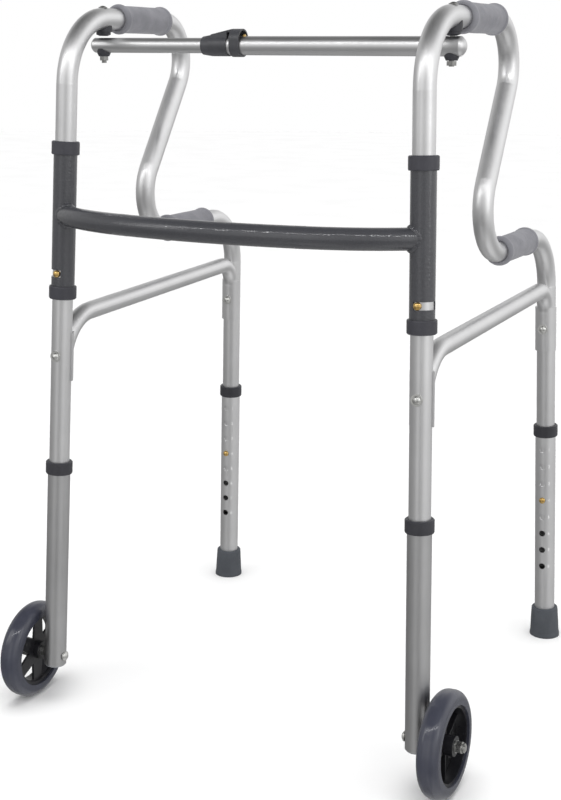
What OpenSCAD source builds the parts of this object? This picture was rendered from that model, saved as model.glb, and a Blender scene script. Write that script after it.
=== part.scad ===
// Folding two-tier walking frame with two front wheels and two rubber feet.
// X runs across the frame, +Y points to the user and +Z is up. The floor is z = 0,
// and the origin is on the floor under the middle of the frame's bounding box.
// Each side frame lies in its own plane, which leans inwards and opens towards the user.
// Inside that plane u is the distance behind the front leg's floor point and v is height.

/* [Stance] */
// Half of the distance between the two front leg axes at the floor
half_track = 257.5; // [230:0.5:290]
// Distance between the front and the rear leg axis of one side, at the floor
leg_base = 505; // [480:1:530]
// Inward lean of each side frame
side_lean = 2.1; // [1:0.1:3]
// Outward opening of each side frame, towards the user
side_toe = 1.15; // [0:0.05:2]
// Slope of the front and rear legs towards each other
leg_rake = 2.25; // [1:0.05:3]

/* [Side tube] */
// Outside diameter of the bent side tube
side_tube_d = 25.4; // [24:0.1:27]
// Wall of the aluminium tubes
tube_wall = 1.4; // [1:0.1:2]
// Height of the tube's centre at the upper grip
upper_grip_v = 876; // [850:1:900]
// Height of the tube's centre at the lower grip
lower_grip_v = 597.5; // [580:0.5:615]
// Corner where the upper grip's line meets the slanting part
upper_corner_u = 355; // [345:1:365]
// Corner where the slanting part meets the lower grip's line
lower_corner_u = 170; // [160:1:180]
// Bend radius at the top of the front leg
top_bend_r = 80; // [70:1:90]
// Bend radius behind the upper grip
upper_bend_r = 52; // [48:1:54]
// Bend radius in front of the lower grip
lower_bend_r = 56; // [50:1:58]
// Bend radius at the top of the rear leg
rear_bend_r = 76; // [70:1:84]
// Height of the tube's open lower ends
tube_end_v = 176; // [172:1:182]

/* [Grips] */
// Length of each handgrip
grip_length = 114; // [100:1:116]
// Diameter of a grip at its middle
grip_d = 34; // [32:0.5:36]
// Diameter of a grip's end flanges
grip_flange_d = 38; // [36:0.5:40]
// Where the upper grip starts
upper_grip_u = 142; // [138:1:143]
// Where the lower grip starts
lower_grip_u = 275; // [275:1:284]

/* [Side brace] */
// Outside diameter of the side brace
brace_d = 22.2; // [20:0.1:24]
// Height of the brace's straight run at the front
brace_v = 511; // [500:1:520]
// Rise of the straight run towards the rear
brace_rise = 1.4; // [0:0.1:3]
// Bend radius of the brace at the front
brace_front_r = 60; // [50:1:66]
// Bend radius of the brace at the rear
brace_rear_r = 34; // [30:1:40]
// Height of the lower ends of its saddles
brace_end_v = 434; // [433:1:440]
// Height of the brace bolts
brace_bolt_v = 466; // [460:1:470]

/* [Cross frame] */
// Outside diameter of the sleeves that the front legs turn in
sleeve_d = 28.8; // [28.6:0.1:30]
// Lower end of the sleeves, along the leg
sleeve_low = 541; // [530:1:550]
// Upper end of the sleeves, along the leg
sleeve_high = 728; // [715:1:735]
// Outside diameter of the crossbar
crossbar_d = 25; // [22:0.5:26]
// Height of the crossbar's axis
crossbar_z = 641; // [630:1:650]
// How far the crossbar's middle corner lies in front of the sleeves
bow_mid = 73; // [60:1:80]
// How far its two shoulder corners lie in front of the sleeves
bow_shoulder = 43; // [35:1:50]
// Distance of the shoulder corners from the middle
shoulder_x = 178; // [170:1:185]
// Height of the fold buttons, along the leg
fold_button_s = 570; // [565:1:580]
// Turn that the slot in each sleeve allows
slot_turn = 90; // [80:1:100]

/* [Legs] */
// Outside diameter of the adjustable leg tubes
leg_d = 28.6; // [28.5:0.05:29]
// Top of the front leg tubes
front_leg_top = 325; // [320:1:326]
// Top of the rear leg tubes
rear_leg_top = 321; // [318:1:322]
// Height of the topmost height hole
top_hole_s = 289.7; // [285:0.1:292]
// Distance between height holes
hole_pitch = 25.4; // [25:0.1:26]
// Number of height holes in each leg
hole_count = 8; // [6:1:8]
// Diameter of the height holes
hole_d = 9; // [8.8:0.1:9.4]
// Outside diameter of the plastic collars
collar_d = 34; // [33:0.5:36]
// Height of the plastic collars
collar_h = 16; // [14:0.5:18]

/* [Feet and wheels] */
// Height of a rubber foot
foot_h = 44; // [38:1:48]
// Diameter of a rubber foot at the floor
foot_d = 43; // [42:0.5:48]
// Diameter of a rubber foot near its top
foot_top_d = 38.5; // [37:0.5:40]
// Diameter of the wheels
wheel_d = 127; // [125:1:130]
// Width of the tyres
tyre_w = 27; // [25:0.5:27.5]
// Diameter of the wheel hub's rim
rim_d = 94; // [90:1:98]
// Distance of the wheel's middle from the leg axis
wheel_x = 34; // [32:0.5:35]
// Number of spokes
spoke_count = 6; // [5:1:7]

/* [Top bar] */
// Distance of the bar's pivots behind the front leg's floor point
bar_u = 113; // [113:1:118]
// Height of the bar's axis in the side frame's plane
bar_v = 844; // [842:1:845]
// Outside diameter of the outer bar
outer_bar_d = 22; // [21:0.5:23]
// Outside diameter of the inner bar
inner_bar_d = 18; // [17:0.5:18]
// Length of the bar's ends beyond their pivots
bar_stub = 17; // [15:1:19]
// Free end of the outer bar
outer_bar_x = -82; // [-90:1:-75]
// Place of the bar's lock button
lock_x = -31; // [-33:1:-29]

/* [Buttons] */
// Diameter of the brass buttons
button_d = 8.6; // [8:0.1:8.7]
// How far a button stands out of the outer tube
button_reach = 3.4; // [2.5:0.1:4]

/* [Hidden] */
$fn = 64;

// A small overlap, so that a cut passes its face
eps = 0.5;
// The straight runs of a bent tube stand this much out of its bends, and taper into them
swell = 0.1;
taper = 3;
// Radial clearance of a running fit
run_gap = 0.17;
// Radial clearance of a piece that sits on a tube
seat_gap = 0.13;

side_tube_r = side_tube_d / 2;
sleeve_r = sleeve_d / 2;
leg_r = leg_d / 2;
brace_r = brace_d / 2;
wheel_r = wheel_d / 2;
collar_flange = 3;

// The wheel's crown is rounded with this radius, and its middle is flat
tyre_edge_r = 11;
tyre_flat = tyre_w - 2 * tyre_edge_r;
// Height of the wheel's middle above the floor, and in the leaning plane
wheel_z = (wheel_r - tyre_edge_r) * cos(side_lean) + tyre_flat / 2 * sin(side_lean)
    + tyre_edge_r;
wheel_v = (wheel_z - wheel_x * sin(side_lean)) / cos(side_lean);
wheel_s = wheel_v / cos(leg_rake);
wheel_u = wheel_v * tan(leg_rake);
leg_end_s = wheel_s - 12.5;

// The front leg's floor point, which centres the frame's bounding box on Y
front_y = -(leg_base * cos(side_toe) + foot_d / 2 + wheel_u - wheel_r) / 2;

// Point on the right front leg's axis, at a distance s from the floor
function leg_point(s) = [
    half_track + s * (sin(leg_rake) * sin(side_toe) * cos(side_lean)
        - cos(leg_rake) * sin(side_lean)),
    front_y + s * sin(leg_rake) * cos(side_toe),
    s * (sin(leg_rake) * sin(side_toe) * sin(side_lean) + cos(leg_rake) * cos(side_lean))
];

// Right pivot of the top bar
pivot_x = half_track + bar_u * sin(side_toe) * cos(side_lean) - bar_v * sin(side_lean);
pivot_y = front_y + bar_u * cos(side_toe);
pivot_z = bar_u * sin(side_toe) * sin(side_lean) + bar_v * cos(side_lean);

// Corners of the side tube's path, as [u, v]
side_path = [
    [tube_end_v * tan(leg_rake), tube_end_v],
    [upper_grip_v * tan(leg_rake), upper_grip_v],
    [upper_corner_u, upper_grip_v],
    [lower_corner_u, lower_grip_v],
    [leg_base - lower_grip_v * tan(leg_rake), lower_grip_v],
    [leg_base - tube_end_v * tan(leg_rake), tube_end_v]
];
side_radii = [top_bend_r, upper_bend_r, lower_bend_r, rear_bend_r];

// The brace's upright ends run beside the leg axes, this far from them
saddle_wall = 2.4;
brace_offset = side_tube_r + saddle_wall - brace_r + 0.4;
function front_brace_u(v) = v * tan(leg_rake) + brace_offset;
function rear_brace_u(v) = leg_base - v * tan(leg_rake) - brace_offset;
brace_front_corner = [front_brace_u(brace_v), brace_v];
brace_rear_v = brace_v + (rear_brace_u(brace_v) - brace_front_corner[0]) * tan(brace_rise);
brace_path = [
    [front_brace_u(brace_end_v), brace_end_v],
    brace_front_corner,
    [rear_brace_u(brace_rear_v), brace_rear_v],
    [rear_brace_u(brace_end_v), brace_end_v]
];
brace_radii = [brace_front_r, brace_rear_r];

// Corners of the crossbar's path, seen from above
crossbar_s = crossbar_z / (cos(leg_rake) * cos(side_lean));
crossbar_end = leg_point(crossbar_s);
crossbar_path = [
    [-crossbar_end[0], crossbar_end[1]],
    [-shoulder_x, crossbar_end[1] - bow_shoulder],
    [0, crossbar_end[1] - bow_mid],
    [shoulder_x, crossbar_end[1] - bow_shoulder],
    [crossbar_end[0], crossbar_end[1]]
];
crossbar_radii = [240, 640, 240];

// The bar pivot's bolt
pivot_bolt_r = 3;
bushing_r = 4.6;
outer_bar_r = outer_bar_d / 2;
inner_bar_r = inner_bar_d / 2;
bar_bore_r = outer_bar_r - 1.2;
// Clear height between the bar's top and the saddle above it. The left pivot is where
// the linkage is open, and the bar's end wanders under its saddle as the sides fold.
closed_gap = 0.3;
open_gap = 2.2;
// Height of the saddles' feet above the bar's axis
right_foot = outer_bar_r + closed_gap;
left_foot = inner_bar_r + open_gap;
// Drop of the caps below the bar
cap_drop = 4.4;

// ---------- helpers ----------

// Places children, drawn in the right side frame's own coordinates
module right_side() {
    translate([half_track, front_y, 0]) rotate([0, -side_lean, 0])
        rotate([0, 0, -side_toe]) children();
}

module left_side() {
    mirror([1, 0, 0]) right_side() children();
}

// Turns the u, v plane into the side frame's plane
module side_plane() {
    rotate([90, 0, 90]) children();
}

// Z runs up the front leg's axis
module on_front_leg() {
    rotate([-leg_rake, 0, 0]) children();
}

// Z runs up the rear leg's axis
module on_rear_leg() {
    translate([0, leg_base, 0]) rotate([leg_rake, 0, 0]) children();
}

// A cylinder that points along -Y, from a distance a to a distance b from the axis
module forward_pin(r, a, b) {
    translate([0, -a, 0]) rotate([90, 0, 0]) cylinder(r = r, h = b - a);
}

function heading(a, b) = atan2(b[1] - a[1], b[0] - a[0]);
function turn_at(p, i) = let (t = heading(p[i], p[i + 1]) - heading(p[i - 1], p[i]))
    t > 180 ? t - 360 : t < -180 ? t + 360 : t;
function tangent_at(p, radii, i) = i == 0 || i == len(p) - 1 ? 0
    : radii[i - 1] * tan(abs(turn_at(p, i)) / 2);

// A straight run along X from x = a to x = b, tapered where it enters a bend
module straight_run(a, b, r, bend_before, bend_after) {
    a_r = r + (bend_before ? -swell : swell);
    b_r = r + (bend_after ? -swell : swell);
    rotate([0, 90, 0]) rotate_extrude() polygon([
        [0, a], [a_r, a], [r + swell, a + taper], [r + swell, b - taper], [b_r, b], [0, b]
    ]);
}

// A round bar along a path of straight runs and round bends, in the XY plane.
// extra lengthens both ends. Bending stretches the tube, so the straight runs are a hair
// thicker than the bends, and a short taper joins the two.
module bent_bar(p, radii, r, extra = 0) {
    last = len(p) - 2;
    for (i = [0 : last]) {
        start = i == 0 ? -extra : tangent_at(p, radii, i) - 2 / 3 * taper;
        rest = i == last ? -extra : tangent_at(p, radii, i + 1) - 2 / 3 * taper;
        translate([p[i][0], p[i][1], 0]) rotate([0, 0, heading(p[i], p[i + 1])])
            straight_run(start, norm(p[i + 1] - p[i]) - rest, r, i > 0, i < last);
    }
    for (i = [1 : last]) {
        side = sign(turn_at(p, i));
        translate([p[i][0], p[i][1], 0]) rotate([0, 0, heading(p[i - 1], p[i])])
            translate([-tangent_at(p, radii, i), side * radii[i - 1], 0])
            mirror([0, side < 0 ? 1 : 0, 0]) rotate([0, 0, -90])
            rotate_extrude(angle = abs(turn_at(p, i))) translate([radii[i - 1], 0]) circle(r);
    }
}

module bent_tube(p, radii, r) {
    difference() {
        bent_bar(p, radii, r);
        bent_bar(p, radii, r - tube_wall, eps);
    }
}

// A collar that caps the top end of an outer tube and guides an inner tube
module tube_collar(outer_r) {
    edge = 1.2;
    difference() {
        rotate_extrude() polygon([
            [side_tube_r - 1, 0], [collar_d / 2 - edge / 2, 0], [collar_d / 2, edge],
            [collar_d / 2, collar_h - edge], [collar_d / 2 - edge, collar_h],
            [side_tube_r - 1, collar_h]
        ]);
        translate([0, 0, -eps]) cylinder(r = side_tube_r + run_gap, h = collar_h + 2 * eps);
        translate([0, 0, -eps])
            cylinder(r = outer_r + seat_gap, h = collar_h - collar_flange + eps + 0.05);
    }
}

// A hexagonal nut or screw head with its lower face at z = 0
module hex_nut(across, h) {
    cylinder(d = across / cos(30), h = h, $fn = 6);
}

// A low domed screw head with its flat face at z = 0
module domed_head(r, h) {
    ball = (r * r + h * h) / (2 * h);
    intersection() {
        translate([0, 0, h - ball]) sphere(r = ball);
        cylinder(r = r, h = h);
    }
}

// ---------- cross frame ----------

module crossbar() {
    color([0.27, 0.28, 0.3]) difference() {
        translate([0, 0, crossbar_end[2]]) difference() {
            bent_bar(crossbar_path, crossbar_radii, crossbar_d / 2);
            bent_bar(crossbar_path, crossbar_radii, crossbar_d / 2 - 1.6, eps);
        }
        right_side() on_front_leg() cylinder(r = sleeve_r, h = sleeve_high);
        left_side() on_front_leg() cylinder(r = sleeve_r, h = sleeve_high);
    }
}

// The slot lets the fold button travel from the front to the outer side
module sleeve() {
    slot_h = button_d + 0.4;
    half_button = asin(slot_h / 2 / side_tube_r);
    color([0.27, 0.28, 0.3]) on_front_leg() difference() {
        translate([0, 0, sleeve_low]) cylinder(r = sleeve_r, h = sleeve_high - sleeve_low);
        translate([0, 0, sleeve_low - eps])
            cylinder(r = side_tube_r + 0.25, h = sleeve_high - sleeve_low + 2 * eps);
        translate([0, 0, fold_button_s - slot_h / 2]) rotate([0, 0, -90 - half_button])
            rotate_extrude(angle = slot_turn + 2 * half_button)
            translate([side_tube_r - 1, 0]) square([4, slot_h]);
    }
}

module upper_sleeve_collar() {
    color([0.27, 0.27, 0.3]) on_front_leg()
        translate([0, 0, sleeve_high - collar_h + collar_flange]) tube_collar(sleeve_r);
}

module lower_sleeve_collar() {
    color([0.27, 0.27, 0.3]) on_front_leg()
        translate([0, 0, sleeve_low + collar_h - collar_flange]) mirror([0, 0, 1])
        tube_collar(sleeve_r);
}

// ---------- side frames ----------

// Height of the hole that a leg's button rests in, which is the fourth from the top
button_s = top_hole_s - 3 * hole_pitch;

module side_tube() {
    color([0.78, 0.79, 0.8]) difference() {
        side_plane() bent_tube(side_path, side_radii, side_tube_r);
        on_front_leg() translate([0, 0, fold_button_s])
            forward_pin(button_d / 2 + 0.1, 5, side_tube_r + eps);
        on_front_leg() translate([0, 0, button_s]) rotate([0, 0, 180])
            forward_pin(button_d / 2 + 0.1, 5, side_tube_r + eps);
        on_rear_leg() translate([0, 0, button_s])
            forward_pin(button_d / 2 + 0.1, 5, side_tube_r + eps);
        on_front_leg() translate([0, 0, brace_bolt_v])
            forward_pin(3.2, -side_tube_r - eps, side_tube_r + eps);
        on_rear_leg() translate([0, 0, brace_bolt_v])
            forward_pin(3.2, -side_tube_r - eps, side_tube_r + eps);
        pivot_axis() cylinder(r = pivot_bolt_r + 0.2, h = 60);
    }
}

// Z runs up the bar's pivot bolt, which stands upright
module pivot_axis() {
    translate([0, bar_u, bar_v]) rotate([0, 0, side_toe]) rotate([0, side_lean, 0])
        children();
}

// A half pipe that wraps the near half of a leg, open towards -Y
module brace_saddle() {
    translate([0, 0, brace_end_v]) intersection() {
        cylinder(r = side_tube_r + saddle_wall, h = 62);
        translate([-20, -20, 0]) cube([40, 18, 62]);
    }
}

module side_brace() {
    color([0.76, 0.77, 0.78]) difference() {
        union() {
            side_plane() bent_bar(brace_path, brace_radii, brace_r);
            on_front_leg() rotate([0, 0, 180]) brace_saddle();
            on_rear_leg() brace_saddle();
        }
        side_plane() bent_bar(brace_path, brace_radii, brace_r - tube_wall, eps);
        on_front_leg() cylinder(r = side_tube_r + seat_gap, h = 700);
        on_rear_leg() cylinder(r = side_tube_r + seat_gap, h = 560);
        on_front_leg() translate([0, 0, brace_bolt_v]) forward_pin(3.2, -20, 0);
        on_rear_leg() translate([0, 0, brace_bolt_v]) forward_pin(3.2, 0, 20);
    }
}

// Soft grip along the u axis, with a flange at each end
module grip() {
    rotate([0, 90, 0]) rotate_extrude() polygon([
        [side_tube_r + seat_gap, 0], [grip_flange_d / 2 - 2, 0], [grip_flange_d / 2, 3],
        [grip_flange_d / 2 - 0.5, 9], [grip_d / 2 - 0.5, 18], [grip_d / 2, grip_length * 0.4],
        [grip_d / 2, grip_length * 0.6], [grip_d / 2 - 0.5, grip_length - 18],
        [grip_flange_d / 2 - 0.5, grip_length - 9], [grip_flange_d / 2, grip_length - 3],
        [grip_flange_d / 2 - 2, grip_length], [side_tube_r + seat_gap, grip_length]
    ]);
}

module upper_grip() {
    color([0.47, 0.47, 0.5]) side_plane() translate([upper_grip_u, upper_grip_v, 0]) grip();
}

module lower_grip() {
    color([0.47, 0.47, 0.5]) side_plane() translate([lower_grip_u, lower_grip_v, 0]) grip();
}

// A screw along -Y into a leg, with a washer and a domed head in front
module leg_screw(front, back) {
    washer_h = 1.4;
    forward_pin(3, -back, front + washer_h);
    difference() {
        forward_pin(7, front, front + washer_h);
        forward_pin(3, front - eps, front + washer_h + eps);
    }
    translate([0, -front - washer_h, 0]) rotate([90, 0, 0]) domed_head(4.8, 2.6);
}

// The front screw ends inside the brace, and the rear one in a nut behind the leg
module brace_bolts() {
    seat = side_tube_r + swell + 0.02;
    color([0.7, 0.7, 0.7]) {
        on_front_leg() translate([0, 0, brace_bolt_v]) leg_screw(seat, seat + saddle_wall);
        on_rear_leg() translate([0, 0, brace_bolt_v]) {
            leg_screw(seat + saddle_wall + 0.4, seat + 6.5);
            translate([0, seat, 0]) rotate([-90, 0, 0]) difference() {
                hex_nut(10, 5);
                translate([0, 0, -eps]) cylinder(r = 3, h = 5 + 2 * eps);
            }
        }
    }
}

// Height of the side tube's centre above the bar's axis
tube_rise = upper_grip_v - bar_v;
// Height of the bolt head's seat above the bar's axis, just clear of the tube
bolt_seat = tube_rise + side_tube_r + swell + 0.05;

// Plastic saddle that hugs the side tube from below, with a neck that starts at foot
module bar_saddle(foot) {
    neck_r = 5;
    shoulder_r = 9;
    block_r = 11;
    block_low = tube_rise - side_tube_r - 3.4;
    color([0.27, 0.27, 0.3]) difference() {
        pivot_axis() union() {
            translate([0, 0, foot]) cylinder(r1 = neck_r, r2 = shoulder_r, h = 1.6);
            translate([0, 0, foot + 1.6]) cylinder(r = shoulder_r, h = block_low - foot);
            translate([0, 0, block_low]) cylinder(r = block_r, h = 12);
        }
        side_plane() bent_bar(side_path, side_radii, side_tube_r + seat_gap);
        pivot_axis() cylinder(r = pivot_bolt_r + 0.2, h = 60);
    }
}

module bolt_head() {
    pivot_axis() translate([0, 0, bolt_seat]) {
        difference() {
            cylinder(r = 5.5, h = 0.8);
            translate([0, 0, -eps]) cylinder(r = pivot_bolt_r, h = 3);
        }
        translate([0, 0, 0.8]) domed_head(4.6, 1.8);
    }
}

// The left bolt's head and upper shank; its lower end is the bar's stud
module bar_bolt_head() {
    color([0.7, 0.7, 0.7]) {
        bolt_head();
        pivot_axis() translate([0, 0, left_foot + 0.5])
            cylinder(r = pivot_bolt_r, h = bolt_seat + 0.8 - left_foot - 0.5);
    }
}

module bar_bolt() {
    nut_top = -outer_bar_r - cap_drop - 0.4;
    color([0.7, 0.7, 0.7]) {
        bolt_head();
        pivot_axis() translate([0, 0, nut_top - 6])
            cylinder(r = pivot_bolt_r, h = bolt_seat + 6.8 - nut_top);
        pivot_axis() translate([0, 0, nut_top - 5]) difference() {
            hex_nut(10, 5);
            translate([0, 0, -eps]) cylinder(r = pivot_bolt_r, h = 5 + 2 * eps);
        }
    }
}

// Spring clip with its button, drawn for a button that points along -Y from z = 0
module button_clip(reach, leaf) {
    leaf_w = 8;
    leaf_t = 0.8;
    wall_y = side_tube_r - tube_wall - 1;
    bend_r = 6;
    forward_pin(button_d / 2, wall_y - leaf_t, reach - 2);
    translate([0, -reach + 2, 0]) rotate([90, 0, 0]) domed_head(button_d / 2, 2);
    translate([-leaf_w / 2, -wall_y, -8]) cube([leaf_w, leaf_t, leaf + 8]);
    translate([-leaf_w / 2, -wall_y + 2 * bend_r - leaf_t, 12])
        cube([leaf_w, leaf_t, leaf - 12]);
    translate([-leaf_w / 2, -wall_y + bend_r, leaf]) rotate([0, 90, 0])
        linear_extrude(leaf_w) intersection() {
            difference() {
                circle(bend_r);
                circle(bend_r - leaf_t);
            }
            translate([-bend_r - 1, -bend_r - 1]) square([bend_r + 1, 2 * bend_r + 2]);
        }
}

module fold_button() {
    color([0.85, 0.6, 0.2]) on_front_leg() translate([0, 0, fold_button_s])
        button_clip(sleeve_r + button_reach, 45);
}

// ---------- legs ----------

// Outer leg tube with a row of height holes on the side that faces -Y
module leg_tube(low, high) {
    difference() {
        translate([0, 0, low]) cylinder(r = leg_r, h = high - low);
        translate([0, 0, low - eps]) cylinder(r = side_tube_r + 0.2, h = high - low + 2 * eps);
        for (i = [0 : hole_count - 1])
            translate([0, 0, top_hole_s - i * hole_pitch])
                forward_pin(hole_d / 2, 5, leg_r + eps);
    }
}

// The front legs have their holes at the back
module front_leg() {
    color([0.78, 0.79, 0.8]) on_front_leg() difference() {
        rotate([0, 0, 180]) leg_tube(leg_end_s, front_leg_top);
        translate([0, 0, wheel_s]) rotate([0, 90, 0])
            cylinder(r = axle_r + 0.05, h = 40, center = true);
    }
}

rear_leg_end = 7;

module rear_leg() {
    color([0.78, 0.79, 0.8]) on_rear_leg() leg_tube(rear_leg_end, rear_leg_top);
}

module front_leg_collar() {
    color([0.27, 0.27, 0.3]) on_front_leg()
        translate([0, 0, front_leg_top - collar_h + collar_flange]) tube_collar(leg_r);
}

module rear_leg_collar() {
    color([0.27, 0.27, 0.3]) on_rear_leg()
        translate([0, 0, rear_leg_top - collar_h + collar_flange]) tube_collar(leg_r);
}

// Rounded plug that closes the front leg's lower end
module leg_plug() {
    plug_r = side_tube_r + 0.15;
    color([0.6, 0.61, 0.63]) on_front_leg() difference() {
        union() {
            translate([0, 0, leg_end_s - 2]) cylinder(r1 = leg_r - 1.6, r2 = leg_r, h = 1.98);
            translate([0, 0, leg_end_s - 0.02]) cylinder(r = plug_r, h = 22);
        }
        translate([0, 0, wheel_s]) rotate([0, 90, 0])
            cylinder(r = axle_r + 0.05, h = 40, center = true);
    }
}

module rear_foot() {
    color([0.29, 0.3, 0.33]) difference() {
        on_rear_leg() rotate_extrude() polygon([
            [0, -4], [foot_d / 2, -4], [foot_d / 2, 3], [foot_d / 2 - 0.8, 7],
            [foot_top_d / 2, foot_h - 7], [foot_top_d / 2 - 0.4, foot_h - 1.5],
            [foot_top_d / 2 - 2, foot_h], [0, foot_h]
        ]);
        on_rear_leg() translate([0, 0, rear_leg_end - 0.02])
            cylinder(r = leg_r + seat_gap, h = foot_h);
        rotate([0, 0, side_toe]) rotate([0, side_lean, 0])
            translate([-60, leg_base - 60, -20]) cube([120, 120, 20]);
    }
}

module front_leg_button() {
    color([0.85, 0.6, 0.2]) on_front_leg() translate([0, 0, button_s]) rotate([0, 0, 180])
        button_clip(leg_r + button_reach, 45);
}

module rear_leg_button() {
    color([0.85, 0.6, 0.2]) on_rear_leg() translate([0, 0, button_s])
        button_clip(leg_r + button_reach, 45);
}

// ---------- wheels ----------

axle_r = 4;
boss_r = 12;
bush_r = 7;
wheel_in = wheel_x - tyre_w / 2;
wheel_out = wheel_x + tyre_w / 2;

// The axle's middle is the origin and its axis is X, pointing outwards
module on_axle() {
    on_front_leg() translate([0, 0, wheel_s]) rotate([0, 90, 0]) children();
}

module axle_bolt() {
    color([0.72, 0.72, 0.72]) on_axle() {
        translate([0, 0, -leg_r - 1.6]) cylinder(r = axle_r, h = leg_r + wheel_out + 14);
        translate([0, 0, -leg_r - 1.6]) difference() {
            cylinder(r = 6.5, h = 1.6);
            translate([0, 0, -eps]) cylinder(r = axle_r, h = 3);
        }
        translate([0, 0, -leg_r - 1.6]) rotate([180, 0, 0]) domed_head(6, 3);
        translate([0, 0, leg_r + 0.02]) difference() {
            cylinder(r = 7.5, h = wheel_in - leg_r - 0.3);
            translate([0, 0, -eps]) cylinder(r = axle_r, h = 10);
        }
        translate([0, 0, wheel_out + 0.3]) difference() {
            cylinder(r = 7.5, h = 1.5);
            translate([0, 0, -eps]) cylinder(r = axle_r, h = 3);
        }
        translate([0, 0, wheel_out + 1.8]) difference() {
            union() {
                hex_nut(13, 6.5);
                translate([0, 0, 6.5]) cylinder(r = 5.6, h = 3);
            }
            translate([0, 0, -eps]) cylinder(r = axle_r, h = 12);
        }
    }
}

module wheel_bush() {
    color([0.8, 0.8, 0.78]) on_axle() translate([0, 0, wheel_in]) difference() {
        cylinder(r = bush_r, h = tyre_w);
        translate([0, 0, -eps]) cylinder(r = axle_r + run_gap, h = tyre_w + 2 * eps);
    }
}

// Dished hub: rim, thin web with openings between the spokes, and ribs outside
module wheel_hub() {
    rim_r = rim_d / 2;
    rim_wall = 3.5;
    rim_w = tyre_w - 6;
    web_t = 3;
    pitch = 360 / spoke_count;
    color([0.08, 0.08, 0.09]) on_axle() translate([0, 0, wheel_x]) difference() {
        union() {
            difference() {
                cylinder(r = rim_r, h = rim_w, center = true);
                cylinder(r = rim_r - rim_wall, h = rim_w + 2 * eps, center = true);
            }
            translate([0, 0, -rim_w / 2 + 4]) cylinder(r = rim_r - 1, h = web_t);
            cylinder(r = boss_r, h = tyre_w, center = true);
            for (i = [0 : spoke_count - 1]) rotate([0, 0, i * pitch])
                translate([boss_r - 2, -1.2, -rim_w / 2 + 4])
                    cube([rim_r - boss_r, 2.4, 8]);
        }
        cylinder(r = bush_r + seat_gap, h = tyre_w + 2 * eps, center = true);
        for (i = [0 : spoke_count - 1]) rotate([0, 0, (i + 0.5) * pitch])
            translate([0, 0, -rim_w / 2 + 4 - eps]) linear_extrude(web_t + 2 * eps)
            polygon([
                [20, 0], [rim_r - 7.5, 13], [rim_r - rim_wall - 1.5, 10],
                [rim_r - rim_wall - 1.5, -10], [rim_r - 7.5, -13]
            ]);
    }
}

module tyre() {
    rim_r = rim_d / 2 + seat_gap;
    crown_r = wheel_r - tyre_edge_r;
    color([0.3, 0.31, 0.36]) on_axle() translate([0, 0, wheel_x]) difference() {
        rotate_extrude() union() {
            translate([rim_r - 3, -tyre_w / 2]) square([crown_r - rim_r + 3, tyre_w]);
            translate([crown_r - eps, -tyre_flat / 2]) square([tyre_edge_r + eps, tyre_flat]);
            translate([crown_r, tyre_flat / 2]) circle(tyre_edge_r);
            translate([crown_r, -tyre_flat / 2]) circle(tyre_edge_r);
        }
        cylinder(r = rim_r, h = tyre_w + 2, center = true);
    }
}

// ---------- top bar ----------

// X runs along the bar and the origin is on its axis, midway between the pivots
module on_bar() {
    translate([0, pivot_y, pivot_z]) children();
}

// A round bar from x = a to x = b with a rounded end at b
module domed_bar(a, b, r) {
    nose = r * 0.6;
    rotate([0, 90, 0]) translate([0, 0, a]) cylinder(r = r, h = b - nose - a);
    translate([b - nose, 0, 0]) rotate([0, 90, 0]) domed_head(r, nose);
}

module outer_bar() {
    end_x = pivot_x + bar_stub;
    color([0.78, 0.79, 0.8]) difference() {
        on_bar() domed_bar(outer_bar_x, end_x, outer_bar_r);
        on_bar() domed_bar(outer_bar_x - eps, end_x - 1.5, bar_bore_r);
        on_bar() translate([pivot_x, 0, 0])
            cylinder(r = bushing_r + 0.1, h = 2 * outer_bar_r + 2, center = true);
        on_bar() translate([lock_x, 0, 0]) cylinder(r = lock_r + 0.1, h = outer_bar_r + 2);
    }
}

// Far end of the inner bar, inside the outer one
inner_bar_end = 60;
lock_r = 2.7;

module inner_bar() {
    color([0.78, 0.79, 0.8]) on_bar() difference() {
        union() {
            mirror([1, 0, 0]) domed_bar(-inner_bar_end, pivot_x + bar_stub, inner_bar_r);
        }
        mirror([1, 0, 0])
            domed_bar(-inner_bar_end - eps, pivot_x + bar_stub - 1.5, inner_bar_r - 1.2);
        translate([-pivot_x, 0, 0])
            cylinder(r = pivot_bolt_r + 0.05, h = 2 * inner_bar_r + 2, center = true);
        translate([lock_x, 0, 0]) cylinder(r = lock_r + 0.4, h = inner_bar_r + 2);
    }
}

// Sleeve between the bar and the right pivot's bolt
module bar_bushing() {
    bushing_h = 2 * outer_bar_r - 2.6;
    color([0.85, 0.85, 0.82]) on_bar() translate([pivot_x, 0, 0]) difference() {
        cylinder(r = bushing_r, h = bushing_h, center = true);
        cylinder(r = pivot_bolt_r + run_gap, h = bushing_h + 2 * eps, center = true);
    }
}

// Thin ring that guides the inner bar inside the outer one
module bar_guide() {
    color([0.85, 0.85, 0.82]) on_bar() translate([outer_bar_x + 12, 0, 0])
        rotate([0, 90, 0]) difference() {
            cylinder(r = bar_bore_r - run_gap, h = 14);
            translate([0, 0, -eps]) cylinder(r = inner_bar_r + run_gap, h = 14 + 2 * eps);
        }
}

// Plastic cap under a bar's end, hollowed to fit the bar
module under_cap(bar_r, hole_r) {
    difference() {
        translate([0, 0, -bar_r - cap_drop]) union() {
            cylinder(r1 = 6.5, r2 = 8.5, h = 4);
            translate([0, 0, 4]) cylinder(r = 8.5, h = 5);
        }
        translate([-20, 0, 0]) rotate([0, 90, 0]) cylinder(r = bar_r + seat_gap, h = 40);
        translate([0, 0, -bar_r - 6]) cylinder(r = hole_r, h = bar_r + 6);
    }
}

module bar_cap_right() {
    color([0.27, 0.27, 0.3]) on_bar() translate([pivot_x, 0, 0])
        under_cap(outer_bar_r, pivot_bolt_r + 0.3);
}

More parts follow.
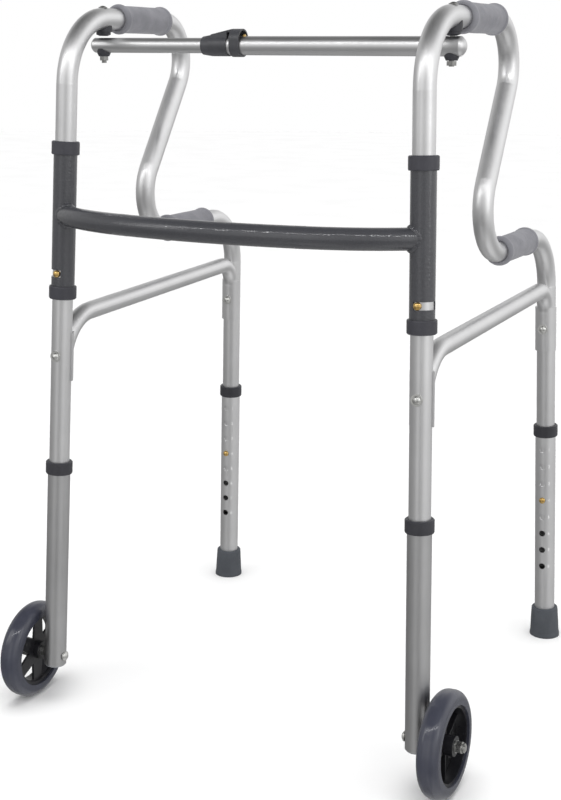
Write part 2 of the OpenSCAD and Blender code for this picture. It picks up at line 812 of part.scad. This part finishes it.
module bar_cap_left() {
    color([0.27, 0.27, 0.3]) on_bar() translate([-pivot_x, 0, 0])
        under_cap(inner_bar_r, pivot_bolt_r + 0.02);
}

// Lower end of the left pivot's bolt, with its nut, under the open pivot
module bar_stud_left() {
    color([0.7, 0.7, 0.7]) on_bar() translate([-pivot_x, 0, 0]) {
        translate([0, 0, -inner_bar_r - 12.4])
            cylinder(r = pivot_bolt_r, h = 2 * inner_bar_r + 12.4);
        translate([0, 0, -inner_bar_r - cap_drop - 5.02]) difference() {
            hex_nut(10, 5);
            translate([0, 0, -eps]) cylinder(r = pivot_bolt_r, h = 5 + 2 * eps);
        }
    }
}

// ---------- latch ----------

latch_r = 12.4;
latch_low = outer_bar_x - 3;
latch_high = outer_bar_x + 32;
// Where the loop is rooted in the collar, and its ring's ends
loop_root = outer_bar_x + 10;
ring_low = lock_x - 14;
ring_high = lock_x - 1;
ring_bore_r = outer_bar_r + 0.25;
ring_r = ring_bore_r + 1.9;
ring_rise = 6.3;
loop_w = 13;

// Plastic collar on the outer bar's free end, with a rising cheek at each side of the loop
module latch_collar() {
    color([0.24, 0.24, 0.27]) on_bar() difference() {
        union() {
            translate([latch_low, 0, 0]) rotate([0, 90, 0]) {
                cylinder(r1 = latch_r - 1.6, r2 = latch_r, h = 12);
                translate([0, 0, 12]) cylinder(r = latch_r, h = latch_high - latch_low - 12);
            }
            for (y = [8.8, -6.6])
                translate([0, y, 0]) rotate([90, 0, 0]) linear_extrude(2.2) polygon([
                    [loop_root - 6, 8], [loop_root - 6, 10.8], [latch_high, 16.5],
                    [latch_high, 8]
                ]);
        }
        translate([outer_bar_x - 0.02, 0, 0]) rotate([0, 90, 0])
            cylinder(r = outer_bar_r + seat_gap, h = 50);
        translate([outer_bar_x - 5, 0, 0]) rotate([0, 90, 0])
            cylinder(r = inner_bar_r + 0.2, h = 10);
        translate([loop_root - 1.1, -loop_w / 2 - 0.3, 4]) cube([40, loop_w + 0.6, 14]);
    }
}

// Outline of a ring that is longer than it is wide
module stadium(r) {
    circle(r);
    translate([-ring_rise, -r]) square([ring_rise, 2 * r]);
    translate([-ring_rise, 0]) circle(r);
}

// Springy bridge that ends in a ring round the bar; squeezing it presses the lock button
module latch_loop() {
    top = ring_rise + ring_r;
    color([0.24, 0.24, 0.27]) on_bar() {
        translate([ring_low, 0, 0]) rotate([0, 90, 0])
            linear_extrude(ring_high - ring_low) difference() {
                stadium(ring_r);
                stadium(ring_bore_r);
            }
        translate([0, loop_w / 2, 0]) rotate([90, 0, 0]) linear_extrude(loop_w) polygon([
            [loop_root, outer_bar_r + 0.4], [loop_root, outer_bar_r + 2],
            [ring_low + 1, top - 0.4], [ring_low + 1, outer_bar_r + 4.9],
            [loop_root + 6, outer_bar_r + 1.1]
        ]);
        translate([loop_root, loop_w / 2, outer_bar_r + 1]) rotate([90, 0, 0])
            cylinder(r = 0.8, h = loop_w);
    }
}

// The tip stays just clear of the inner bar, so that the bar can slide
module lock_button() {
    shank_low = bar_bore_r + 0.9;
    shank_h = outer_bar_r + 0.75 - shank_low;
    color([0.85, 0.6, 0.2]) on_bar() translate([lock_x, 0, shank_low]) {
        cylinder(r = lock_r, h = shank_h);
        translate([0, 0, shank_h]) domed_head(lock_r, 1.8);
    }
}

crossbar();
left_side() sleeve();  // sleeve_left
right_side() sleeve();  // sleeve_right
left_side() upper_sleeve_collar();  // upper_sleeve_collar_left
right_side() upper_sleeve_collar();  // upper_sleeve_collar_right
left_side() lower_sleeve_collar();  // lower_sleeve_collar_left
right_side() lower_sleeve_collar();  // lower_sleeve_collar_right
left_side() side_tube();  // side_tube_left
right_side() side_tube();  // side_tube_right
left_side() side_brace();  // side_brace_left
right_side() side_brace();  // side_brace_right
left_side() upper_grip();  // upper_grip_left
right_side() upper_grip();  // upper_grip_right
left_side() lower_grip();  // lower_grip_left
right_side() lower_grip();  // lower_grip_right
left_side() brace_bolts();  // brace_bolts_left
right_side() brace_bolts();  // brace_bolts_right
left_side() bar_saddle(left_foot);  // bar_saddle_left
right_side() bar_saddle(right_foot);  // bar_saddle_right
left_side() bar_bolt_head();  // bar_bolt_head_left
right_side() bar_bolt();  // bar_bolt_right
left_side() fold_button();  // fold_button_left
right_side() fold_button();  // fold_button_right
left_side() front_leg();  // front_leg_left
right_side() front_leg();  // front_leg_right
left_side() front_leg_collar();  // front_leg_collar_left
right_side() front_leg_collar();  // front_leg_collar_right
left_side() leg_plug();  // leg_plug_left
right_side() leg_plug();  // leg_plug_right
left_side() axle_bolt();  // axle_bolt_left
right_side() axle_bolt();  // axle_bolt_right
left_side() wheel_hub();  // wheel_hub_left
right_side() wheel_hub();  // wheel_hub_right
left_side() tyre();  // tyre_left
right_side() tyre();  // tyre_right
left_side() wheel_bush();  // wheel_bush_left
right_side() wheel_bush();  // wheel_bush_right
left_side() rear_leg();  // rear_leg_left
right_side() rear_leg();  // rear_leg_right
left_side() rear_leg_collar();  // rear_leg_collar_left
right_side() rear_leg_collar();  // rear_leg_collar_right
left_side() rear_foot();  // rear_foot_left
right_side() rear_foot();  // rear_foot_right
left_side() front_leg_button();  // front_leg_button_left
right_side() front_leg_button();  // front_leg_button_right
left_side() rear_leg_button();  // rear_leg_button_left
right_side() rear_leg_button();  // rear_leg_button_right
outer_bar();
inner_bar();
bar_bushing();
bar_guide();
bar_cap_right();
bar_cap_left();
bar_stud_left();
latch_collar();
latch_loop();
lock_button();
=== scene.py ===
"""Looks of the two-tier folding walking frame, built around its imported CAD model."""
import math

import bmesh
import bpy
from mathutils import Matrix, Vector, noise

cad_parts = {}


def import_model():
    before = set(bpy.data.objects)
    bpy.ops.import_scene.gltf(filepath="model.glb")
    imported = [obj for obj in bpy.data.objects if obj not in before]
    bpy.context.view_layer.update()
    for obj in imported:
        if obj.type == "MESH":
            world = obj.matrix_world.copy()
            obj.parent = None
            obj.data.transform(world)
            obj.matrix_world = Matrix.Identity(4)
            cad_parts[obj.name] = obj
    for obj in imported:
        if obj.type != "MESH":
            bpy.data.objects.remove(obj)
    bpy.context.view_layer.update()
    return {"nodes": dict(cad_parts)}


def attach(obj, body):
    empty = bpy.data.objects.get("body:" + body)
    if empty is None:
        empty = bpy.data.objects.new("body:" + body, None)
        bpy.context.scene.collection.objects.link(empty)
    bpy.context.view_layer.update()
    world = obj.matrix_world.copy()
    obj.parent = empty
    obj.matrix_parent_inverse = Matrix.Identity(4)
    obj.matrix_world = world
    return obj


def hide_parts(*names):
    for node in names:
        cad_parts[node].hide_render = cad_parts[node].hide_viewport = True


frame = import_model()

MM = 0.001

# ---------- the CAD model's own numbers, in millimetres and degrees ----------

HALF_TRACK = 257.5
FRONT_Y = -232.674
SIDE_LEAN = 2.1
SIDE_TOE = 1.15
LEG_RAKE = 2.25
LEG_BASE = 505
SIDE_TUBE_R = 12.8
SLEEVE_R = 14.4
LEG_R = 14.3
CROSSBAR_R = 12.6
CROSSBAR_Z = 641
GRIP_LENGTH = 114
UPPER_GRIP = (142, 876)
LOWER_GRIP = (275, 597.5)
TOP_HOLE = 289.7
HOLE_PITCH = 25.4
HOLE_COUNT = 8

SIDES = (("right", 1), ("left", -1))

# ---------- the photo's view, in metres and degrees ----------

VIEW_PLACE = (0.7534, -1.6011, 0.8322)
VIEW_YAW = 26.33
VIEW_PITCH = 14.12
VIEW_ROLL = 0.37
VIEW_LENS = 61.58
FLOOR_RADIUS = 14


def turn(degrees, axis):
    return Matrix.Rotation(math.radians(degrees), 4, axis)


def side_frame(sign):
    """Places points of a side frame: x outwards, y backwards from the front leg, z up."""
    place = (Matrix.Translation((HALF_TRACK * MM, FRONT_Y * MM, 0)) @ turn(-SIDE_LEAN, "Y")
             @ turn(-SIDE_TOE, "Z"))
    return place if sign > 0 else Matrix.Scale(-1, 4, (1, 0, 0)) @ place


def front_leg_frame(sign):
    return side_frame(sign) @ turn(-LEG_RAKE, "X")


def rear_leg_frame(sign):
    return (side_frame(sign) @ Matrix.Translation((0, LEG_BASE * MM, 0))
            @ turn(LEG_RAKE, "X"))


def new_mesh(name, points, faces, material, smooth=True):
    mesh = bpy.data.meshes.new(name)
    mesh.from_pydata([tuple(p) for p in points], [], faces)
    mesh.validate()
    mesh.update()
    mesh.polygons.foreach_set("use_smooth", [smooth] * len(mesh.polygons))
    mesh.materials.append(material)
    obj = bpy.data.objects.new(name, mesh)
    bpy.context.scene.collection.objects.link(obj)
    return obj


def ring_faces(rings, around, closed=False):
    """Quads between successive rings of points; closed also joins the last to the first."""
    faces = []
    for i in range(rings if closed else rings - 1):
        a, b = i * around, (i + 1) % rings * around
        for j in range(around):
            k = (j + 1) % around
            faces.append((a + j, a + k, b + k, b + j))
    return faces


def outward(obj):
    """Makes the faces of a closed piece point outwards."""
    bm = bmesh.new()
    bm.from_mesh(obj.data)
    bmesh.ops.recalc_face_normals(bm, faces=bm.faces)
    bm.to_mesh(obj.data)
    bm.free()


# ---------- materials ----------

class Finish:
    """A principled material whose colour, roughness and bump come from procedural nodes."""

    def __init__(self, name, metallic=0.0, coat=0.0, specular=0.5):
        self.material = bpy.data.materials.new(name)
        self.material.use_nodes = True
        self.tree = self.material.node_tree
        self.shader = self.tree.nodes["Principled BSDF"]
        self.shader.inputs["Metallic"].default_value = metallic
        self.shader.inputs["Coat Weight"].default_value = coat
        self.shader.inputs["Coat Roughness"].default_value = 0.12
        self.shader.inputs["Specular IOR Level"].default_value = specular
        self.height = None

    def node(self, kind, **settings):
        made = self.tree.nodes.new(kind)
        for key, value in settings.items():
            setattr(made, key, value)
        return made

    def link(self, a, b):
        self.tree.links.new(a, b)

    def place(self, stretch=(1, 1, 1)):
        coords = self.node("ShaderNodeTexCoord")
        mapping = self.node("ShaderNodeMapping")
        mapping.inputs["Scale"].default_value = stretch
        self.link(coords.outputs["Object"], mapping.inputs["Vector"])
        return mapping.outputs["Vector"]

    def grain(self, scale, detail=3.0, stretch=(1, 1, 1), rough=0.55):
        made = self.node("ShaderNodeTexNoise")
        made.inputs["Scale"].default_value = scale
        made.inputs["Detail"].default_value = detail
        made.inputs["Roughness"].default_value = rough
        self.link(self.place(stretch), made.inputs["Vector"])
        return made.outputs["Fac"]

    def cells(self, scale, feature="SMOOTH_F1"):
        made = self.node("ShaderNodeTexVoronoi", feature=feature)
        made.inputs["Scale"].default_value = scale
        if feature == "SMOOTH_F1":
            made.inputs["Smoothness"].default_value = 0.4
        self.link(self.place(), made.inputs["Vector"])
        return made

    def spread(self, value, low, high, start=0.3, end=0.7):
        made = self.node("ShaderNodeMapRange")
        made.inputs["From Min"].default_value = start
        made.inputs["From Max"].default_value = end
        made.inputs["To Min"].default_value = low
        made.inputs["To Max"].default_value = high
        self.link(value, made.inputs["Value"])
        return made.outputs["Result"]

    def colour(self, value, dark, light, start=0.3, end=0.7):
        made = self.node("ShaderNodeMix", data_type="RGBA")
        made.inputs["A"].default_value = (*dark, 1)
        made.inputs["B"].default_value = (*light, 1)
        self.link(self.spread(value, 0, 1, start, end), made.inputs["Factor"])
        self.link(made.outputs["Result"], self.shader.inputs["Base Color"])
        return self

    def rough(self, value, low, high, start=0.3, end=0.7):
        self.link(self.spread(value, low, high, start, end), self.shader.inputs["Roughness"])
        return self

    def bump(self, value, depth, strength=1.0):
        """Adds relief; depth is in millimetres."""
        made = self.node("ShaderNodeBump")
        made.inputs["Strength"].default_value = strength
        made.inputs["Distance"].default_value = depth * MM
        self.link(value, made.inputs["Height"])
        if self.height is not None:
            self.link(self.height, made.inputs["Normal"])
        self.height = made.outputs["Normal"]
        self.link(self.height, self.shader.inputs["Normal"])
        return self


def satin_aluminium(name, stretch, shade, rough):
    """Anodised aluminium with faint drawing lines along the tube; shade sets its grey level, which
    the copies below vary as painted light and shade.
    """
    f = Finish(name, metallic=1.0)
    lines = f.grain(900, 2, stretch)
    light = shade + 0.07
    f.colour(f.grain(14, 4), (shade, shade, shade * 1.005), (light, light, light * 1.005))
    f.rough(lines, rough - 0.05, rough + 0.05)
    f.bump(f.grain(2600, 2), 0.008, 0.5)
    return f.bump(lines, 0.012, 0.3).material


def hammered_paint():
    """Dark grey hammer-finish paint: shallow cells under a clear gloss, with bright flakes."""
    f = Finish("hammered_paint", metallic=0.1, coat=1.0)
    f.shader.inputs["Coat Roughness"].default_value = 0.05
    f.colour(f.grain(1600, 2), (0.025, 0.026, 0.031), (0.048, 0.049, 0.058))
    f.rough(f.grain(300), 0.48, 0.6)
    f.bump(f.cells(420).outputs["Distance"], 0.16, 0.9)
    f.bump(f.grain(700, 2), 0.06, 0.6)
    f.link(f.height, f.shader.inputs["Coat Normal"])
    return f.material


def moulded(name, dark, light, rough, grain=1400, depth=0.03, specular=0.5):
    """Moulded plastic or rubber with a fine spark-eroded grain."""
    f = Finish(name, specular=specular)
    f.colour(f.grain(30, 5), dark, light)
    f.rough(f.grain(220, 4), rough - 0.07, rough + 0.07)
    f.bump(f.grain(grain, 3), depth, 0.6)
    return f.material


def grip_foam():
    f = Finish("grip_foam", specular=0.35)
    f.shader.inputs["Sheen Weight"].default_value = 0.15
    f.colour(f.grain(55, 6), (0.160, 0.160, 0.178), (0.218, 0.218, 0.238))
    f.rough(f.grain(180, 4), 0.68, 0.86)
    f.bump(f.grain(60, 3), 0.25, 0.35)
    return f.bump(f.cells(1300).outputs["Distance"], 0.12, 0.7).material


def plated(name, dark, light, rough):
    """Plated steel or brass, with fine handling scratches."""
    f = Finish(name, metallic=1.0)
    f.colour(f.grain(120, 5), dark, light)
    f.rough(f.grain(700, 5), rough - 0.08, rough + 0.14)
    return f.bump(f.grain(1500, 4, (1, 1, 0.08)), 0.02, 0.5).material


# The four copies below are one anodised aluminium. The stretch of their drawing lines follows each
# tube, but their different grey levels are painted light and shade: the front legs darkest
# (painted shade), the rear legs lightest (painted light), and the across bars and bent tubes in
# between.
LEG_FRONT_PAINTED_SHADE = satin_aluminium("satin_aluminium_front_leg_painted_shade", (1, 1, 0.02), 0.52, 0.42)
LEG_REAR_PAINTED_LIGHT = satin_aluminium("satin_aluminium_rear_leg_painted_light", (1, 1, 0.02), 0.74, 0.44)
TUBE_ACROSS = satin_aluminium("satin_aluminium_across", (0.02, 1, 1), 0.66, 0.38)
TUBE_BENT = satin_aluminium("satin_aluminium_bent", (1, 0.25, 0.25), 0.72, 0.385)
PAINT = hammered_paint()
PLASTIC = moulded("dark_plastic", (0.022, 0.022, 0.027), (0.033, 0.033, 0.041), 0.46)
COLLAR = moulded("collar_plastic", (0.029, 0.029, 0.037), (0.043, 0.043, 0.053), 0.46)
LATCH = moulded("latch_plastic", (0.040, 0.041, 0.046), (0.055, 0.056, 0.063), 0.36)
GRIP = grip_foam()
BRASS = plated("brass", (0.62, 0.40, 0.13), (0.80, 0.56, 0.22), 0.24)
TYRE = moulded("tyre_rubber", (0.033, 0.035, 0.050), (0.045, 0.048, 0.067), 0.18, 600, 0.006,
               0.6)
FOOT = moulded("foot_rubber", (0.048, 0.054, 0.064), (0.068, 0.075, 0.087), 0.6, 1000, 0.05)
HUB = moulded("hub_plastic", (0.009, 0.009, 0.011), (0.015, 0.015, 0.018), 0.34)
NYLON = moulded("nylon", (0.66, 0.66, 0.62), (0.76, 0.76, 0.73), 0.4)
ZINC = plated("zinc_steel", (0.55, 0.55, 0.53), (0.72, 0.72, 0.70), 0.3)
DARK_STEEL = plated("dark_steel", (0.24, 0.24, 0.235), (0.36, 0.36, 0.35), 0.32)
MARK = moulded("height_mark", (0.84, 0.84, 0.84), (0.92, 0.92, 0.92), 0.5)
PLUG = moulded("plug_plastic", (0.27, 0.28, 0.3), (0.33, 0.34, 0.36), 0.45)

# The first name that a node's name starts with gives its finish
FINISHES = (
    ("crossbar", PAINT), ("sleeve", PAINT), ("upper_sleeve", COLLAR),
    ("lower_sleeve", COLLAR), ("side_tube", TUBE_BENT), ("side_brace", TUBE_BENT),
    ("upper_grip", GRIP), ("lower_grip", GRIP), ("brace_bolts", ZINC),
    ("bar_saddle", PLASTIC), ("bar_bolt", DARK_STEEL), ("bar_stud", DARK_STEEL),
    ("bar_cap", PLASTIC),
    ("bar_guide", NYLON), ("bar_bushing", NYLON), ("fold_button", BRASS),
    ("front_leg_button", BRASS), ("rear_leg_button", BRASS), ("lock_button", BRASS),
    ("front_leg_collar", PLASTIC), ("rear_leg_collar", PLASTIC), ("front_leg", LEG_FRONT_PAINTED_SHADE),
    ("rear_leg", LEG_REAR_PAINTED_LIGHT), ("leg_plug", PLUG), ("axle_bolt", ZINC), ("wheel_hub", HUB),
    ("wheel_bush", NYLON), ("tyre", TYRE), ("rear_foot", FOOT), ("outer_bar", TUBE_ACROSS),
    ("inner_bar", TUBE_ACROSS), ("latch", LATCH),
)


def finish_of(node):
    return next(material for stem, material in FINISHES if node.startswith(stem))


for node_name, node in frame["nodes"].items():
    if not node.material_slots:
        node.data.materials.append(None)
    for material_slot in node.material_slots:
        material_slot.material = finish_of(node_name)


# ---------- padded grips ----------

def bead(t, centre, half, height):
    """Height of a rounded ring at t."""
    x = (t - centre) / half
    return height * math.sqrt(1 - x * x) if abs(x) < 1 else 0.0


def grip_radius(t):
    """Outer radius in millimetres at t millimetres from the grip's front end."""
    rest = GRIP_LENGTH - t
    edge = min(t, rest)
    body = 16.7 + 0.5 * math.sin(math.pi * t / GRIP_LENGTH)
    lip = 0.5 / (1 + math.exp((edge - 13) * 0.8))
    end = 14.4 + 2.4 * math.sqrt(min(edge, 5) / 5)
    return min(body, end) + bead(edge, 5.0, 5.0, 1.3) + lip


def padded_grip(name, node, sign, start, body):
    around, rings = 96, 92
    place = side_frame(sign)
    points = []
    for i in range(rings):
        t = GRIP_LENGTH * i / (rings - 1)
        for j in range(around):
            a = 2 * math.pi * j / around
            d = Vector((math.cos(a), 0, math.sin(a)))
            soft = noise.noise(Vector((d.x * 0.9, t * 0.03, d.z * 0.9 + sign * 3)))
            r = grip_radius(t) + 0.28 * soft
            points.append(place @ (Vector((0, start[0] + t, start[1])) * MM + d * r * MM))
    for t in (GRIP_LENGTH, 0):
        for j in range(around):
            a = 2 * math.pi * j / around
            d = Vector((math.cos(a), 0, math.sin(a)))
            bore = SIDE_TUBE_R + 0.05
            points.append(place @ (Vector((0, start[0] + t, start[1])) * MM + d * bore * MM))
    obj = new_mesh(name, points, ring_faces(rings + 2, around, closed=True), GRIP)
    outward(obj)
    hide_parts(node)
    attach(obj, body)
    return obj


for side, sign in SIDES:
    padded_grip(f"padded_upper_grip_{side}", f"upper_grip_{side}", sign, UPPER_GRIP,
                f"side_{side}")
    padded_grip(f"padded_lower_grip_{side}", f"lower_grip_{side}", sign, LOWER_GRIP,
                f"side_{side}")


# ---------- weld beads where the crossbar meets the sleeves ----------

def leg_axis(sign):
    """A point on the front leg's axis at the crossbar's height, and the axis direction."""
    m = front_leg_frame(sign)
    low, high = m @ Vector((0, 0, 0)), m @ Vector((0, 0, 1))
    direction = (high - low).normalized()
    return low + direction * (CROSSBAR_Z * MM / direction.z), direction


def weld_bead(name, sign, leg=3.2):
    centre, axis = leg_axis(sign)
    shoulder = Vector((sign * 178 * MM, centre.y - 43 * MM, centre.z))
    along = (shoulder - centre).normalized()
    up = Vector((0, 0, 1))
    across = along.cross(up).normalized()
    around, steps = 120, 7
    points = []

    def reach(offset, radius):
        """How far along the bar a line beside its axis leaves the sleeve."""
        p = offset - offset.dot(axis) * axis
        d = along - along.dot(axis) * axis
        a, b, c = d.dot(d), p.dot(d), p.dot(p) - radius * radius
        return (-b + math.sqrt(max(b * b - a * c, 0))) / a

    for j in range(around):
        angle = 2 * math.pi * j / around
        e = across * math.cos(angle) + up * math.sin(angle)
        ripple = 1 + 0.10 * math.sin(17 * angle) + 0.05 * math.sin(41 * angle + 1)
        size = leg * MM * ripple
        bar, sleeve = CROSSBAR_R * MM, SLEEVE_R * MM
        root = centre + e * bar + along * reach(e * bar, sleeve)
        spread = abs(e.dot(across))
        wide_r = bar + size * (1 - 0.7 * spread ** 3)
        on_sleeve = centre + e * wide_r + along * reach(e * wide_r, sleeve)
        on_bar = centre + e * bar + along * (reach(e * bar, sleeve) + size)
        inner = centre + e * (bar - 1.2 * MM) + along * (reach(e * bar, sleeve) - 1.0 * MM)
        for k in range(steps):
            s = k / (steps - 1)
            p = on_bar.lerp(on_sleeve, s)
            bulge = (p - root).normalized() if (p - root).length > 1e-6 else e
            points.append(p + bulge * 0.35 * MM * math.sin(math.pi * s)
                          - e * 0.25 * MM * (1 if k in (0, steps - 1) else 0))
        points.append(inner)
    faces = []
    strip = steps + 1
    for j in range(around):
        k = (j + 1) % around
        for i in range(strip):
            n = (i + 1) % strip
            faces.append((j * strip + i, k * strip + i, k * strip + n, j * strip + n))
    obj = new_mesh(name, points, faces, PAINT)
    outward(obj)
    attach(obj, "cross_frame")


for side, sign in SIDES:
    weld_bead(f"weld_bead_{side}", sign)


# ---------- numbers beside the height holes ----------

def height_numbers(name, leg, place, facing, turned):
    """Printed numbers down a leg; facing is -1 for holes at the front, 1 for holes at the back."""
    points, faces = [], []
    reader_right = -facing * turned
    for i in range(HOLE_COUNT):
        text = bpy.data.curves.new(f"{name}_{i + 1}", "FONT")
        text.body = str(i + 1)
        text.size = 6 * MM
        text.extrude = 0.05 * MM
        text.align_x = "CENTER"
        text.align_y = "CENTER"
        flat = bpy.data.objects.new(text.name, text)
        bpy.context.scene.collection.objects.link(flat)
        bpy.context.view_layer.update()
        mesh = bpy.data.meshes.new_from_object(flat)
        first = len(points)
        for v in mesh.vertices:
            a = reader_right * (math.radians(38) + v.co.x / (LEG_R * MM))
            r = (LEG_R + 0.04) * MM + v.co.z
            height = (TOP_HOLE - i * HOLE_PITCH) * MM + v.co.y
            points.append(place @ Vector((r * math.sin(a), facing * r * math.cos(a), height)))
        faces += [[first + k for k in face.vertices] for face in mesh.polygons]
        bpy.data.objects.remove(flat)
        bpy.data.curves.remove(text)
        bpy.data.meshes.remove(mesh)
    obj = new_mesh(name, points, faces, MARK, smooth=False)
    outward(obj)
    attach(obj, leg)


for side, sign in SIDES:
    height_numbers(f"rear_leg_numbers_{side}", f"rear_leg_{side}", rear_leg_frame(sign),
                   -1, sign)
    height_numbers(f"front_leg_numbers_{side}", f"front_leg_{side}", front_leg_frame(sign),
                   1, sign)


# ---------- floor, light and camera ----------

def floor():
    around = 96
    points = [(0, 0, 0)] + [
        (FLOOR_RADIUS * math.cos(2 * math.pi * j / around),
         FLOOR_RADIUS * math.sin(2 * math.pi * j / around), 0)
        for j in range(around)]
    faces = [(0, j + 1, (j + 1) % around + 1) for j in range(around)]
    f = Finish("studio_floor", specular=0.2)
    f.colour(f.grain(3, 4), (0.86, 0.86, 0.86), (0.9, 0.9, 0.9))
    f.rough(f.grain(20, 4), 0.6, 0.75)
    obj = new_mesh("studio_floor", points, faces, f.material)
    obj.visible_glossy = False


def set_ramp(ramp, stops):
    """Grey levels at places from 0 to 1."""
    ramp.color_ramp.interpolation = "EASE"
    elements = ramp.color_ramp.elements
    elements[0].position, elements[1].position = stops[0][0], stops[-1][0]
    for where, _ in stops[1:-1]:
        elements.new(where)
    for element, (_, level) in zip(elements, stops):
        element.color = (level, level, level, 1)


def world():
    """A pale studio: bright walls at both sides of the camera, darker below the horizon."""
    made = bpy.data.worlds.new("studio")
    bpy.context.scene.world = made
    made.use_nodes = True
    tree = made.node_tree
    background = tree.nodes["Background"]
    coords = tree.nodes.new("ShaderNodeTexCoord")
    rotate = tree.nodes.new("ShaderNodeMapping")
    rotate.inputs["Rotation"].default_value = (0, 0, math.radians(-VIEW_YAW))
    split = tree.nodes.new("ShaderNodeSeparateXYZ")
    angle = tree.nodes.new("ShaderNodeMath")
    angle.operation = "ARCTAN2"
    share = tree.nodes.new("ShaderNodeMapRange")
    share.inputs["From Min"].default_value = -math.pi
    share.inputs["From Max"].default_value = math.pi
    walls = tree.nodes.new("ShaderNodeValToRGB")
    # From straight behind the frame, round its left, past the camera at the middle, to its right
    set_ramp(walls, ((0.0, 0.60), (0.16, 0.48), (0.33, 0.50), (0.40, 0.95), (0.46, 0.62),
                     (0.5, 0.52), (0.58, 1.0), (0.80, 0.95), (0.93, 0.8), (1.0, 0.60)))
    height = tree.nodes.new("ShaderNodeValToRGB")
    # From straight down, past the horizon at the middle, to straight up
    set_ramp(height, ((0.0, 0.85), (0.08, 0.8), (0.22, 0.45), (0.32, 0.45), (0.40, 0.62),
                      (0.5, 1.0), (0.68, 1.25), (0.82, 0.75), (0.92, 0.28), (1.0, 0.22)))
    lift = tree.nodes.new("ShaderNodeMapRange")
    lift.inputs["From Min"].default_value = -1
    lift.inputs["From Max"].default_value = 1
    product = tree.nodes.new("ShaderNodeMix")
    product.data_type = "RGBA"
    product.blend_type = "MULTIPLY"
    product.inputs["Factor"].default_value = 1
    path = tree.nodes.new("ShaderNodeLightPath")
    seen = tree.nodes.new("ShaderNodeMix")
    seen.data_type = "RGBA"
    seen.inputs["B"].default_value = (1, 1, 1, 1)
    join = tree.links.new
    join(coords.outputs["Generated"], rotate.inputs["Vector"])
    join(rotate.outputs["Vector"], split.inputs["Vector"])
    # The mapping turns the camera's side of the room to -Y, where the angle is 0
    join(split.outputs["X"], angle.inputs[0])
    flip = tree.nodes.new("ShaderNodeMath")
    flip.operation = "MULTIPLY"
    flip.inputs[1].default_value = -1
    join(split.outputs["Y"], flip.inputs[0])
    join(flip.outputs["Value"], angle.inputs[1])
    join(angle.outputs["Value"], share.inputs["Value"])
    join(share.outputs["Result"], walls.inputs["Fac"])
    join(split.outputs["Z"], lift.inputs["Value"])
    join(lift.outputs["Result"], height.inputs["Fac"])
    join(walls.outputs["Color"], product.inputs["A"])
    join(height.outputs["Color"], product.inputs["B"])
    join(product.outputs["Result"], seen.inputs["A"])
    join(path.outputs["Is Camera Ray"], seen.inputs["Factor"])
    join(seen.outputs["Result"], background.inputs["Color"])
    background.inputs["Strength"].default_value = 1.0


def daylight(strength, angle):
    """A very wide sun straight above, which lights the floor evenly as far as it goes."""
    light = bpy.data.lights.new("daylight", "SUN")
    light.energy = strength
    light.angle = math.radians(angle)
    obj = bpy.data.objects.new("daylight", light)
    obj.location = (0, 0, 4)
    obj.visible_glossy = False
    bpy.context.scene.collection.objects.link(obj)


def softbox(name, place, target, width, height, power):
    light = bpy.data.lights.new(name, "AREA")
    light.shape = "RECTANGLE"
    light.size, light.size_y = width, height
    light.energy = power
    obj = bpy.data.objects.new(name, light)
    obj.location = place
    obj.rotation_euler = (Vector(target) - Vector(place)).to_track_quat("-Z", "Y").to_euler()
    obj.visible_camera = False
    bpy.context.scene.collection.objects.link(obj)


def camera():
    yaw, pitch, roll = (math.radians(a) for a in (VIEW_YAW, VIEW_PITCH, VIEW_ROLL))
    look = Vector((-math.sin(yaw) * math.cos(pitch), math.cos(yaw) * math.cos(pitch),
                   -math.sin(pitch)))
    level = Vector((math.cos(yaw), math.sin(yaw), 0))
    above = level.cross(look)
    right = level * math.cos(roll) + above * math.sin(roll)
    up = above * math.cos(roll) - level * math.sin(roll)
    data = bpy.data.cameras.new("camera")
    data.lens = VIEW_LENS
    data.sensor_width = 36
    obj = bpy.data.objects.new("camera", data)
    obj.matrix_world = (Matrix.Translation(VIEW_PLACE)
                        @ Matrix((right, up, -look)).transposed().to_4x4())
    bpy.context.scene.collection.objects.link(obj)
    bpy.context.scene.camera = obj


floor()
world()
daylight(2.2, 50)
softbox("overhead", (0.5, -1.9, 2.4), (0, 0, 0.6), 5.0, 0.05, 20)
softbox("front_left", (-2.2, -2.4, 2.0), (0, 0, 0.5), 0.8, 1.8, 8)
softbox("right_side", (2.6, -0.6, 1.4), (0, 0, 0.6), 0.8, 1.8, 4)
camera()
bpy.context.scene.view_settings.view_transform = "Standard"
